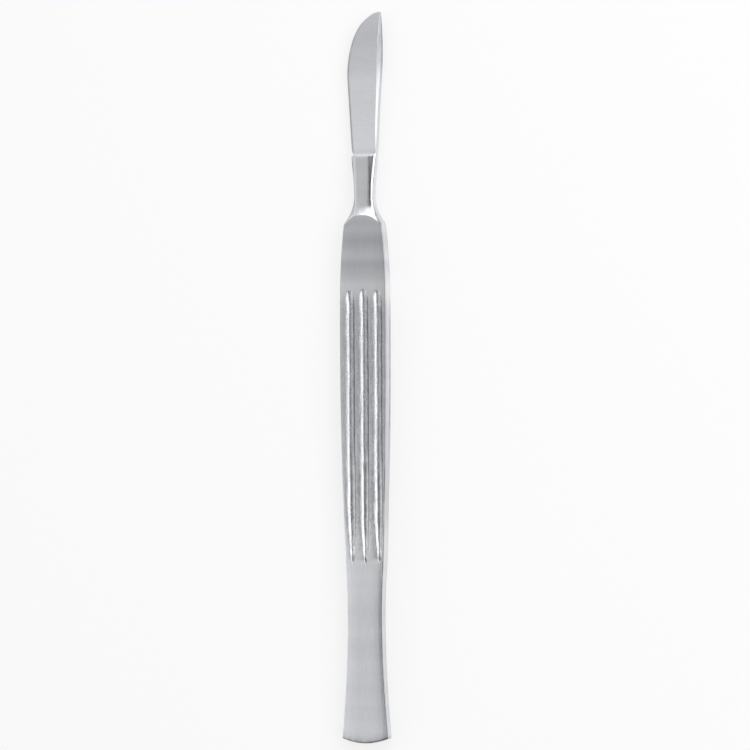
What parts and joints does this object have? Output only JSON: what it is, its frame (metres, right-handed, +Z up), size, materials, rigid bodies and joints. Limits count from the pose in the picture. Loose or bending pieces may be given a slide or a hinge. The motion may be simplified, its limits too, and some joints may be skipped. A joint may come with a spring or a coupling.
{
  "type": "scalpel",
  "caption": "One-piece satin steel scalpel with a bellied blade, a waisted neck and a flat handle fluted on both faces.",
  "frame": {"origin": "under the middle of the length on the handle's centre line, on the lower handle face that the scalpel lies on", "axes": "+X across the handle towards the back of the blade, +Y along the handle towards the tip, +Z up through the thickness"},
  "size_m": [0.0098, 0.15, 0.004],
  "materials": {
    "satin_steel": "satin"
  },
  "bodies": {
    "root": {"scalpel": "satin_steel"}
  },
  "joints": []
}
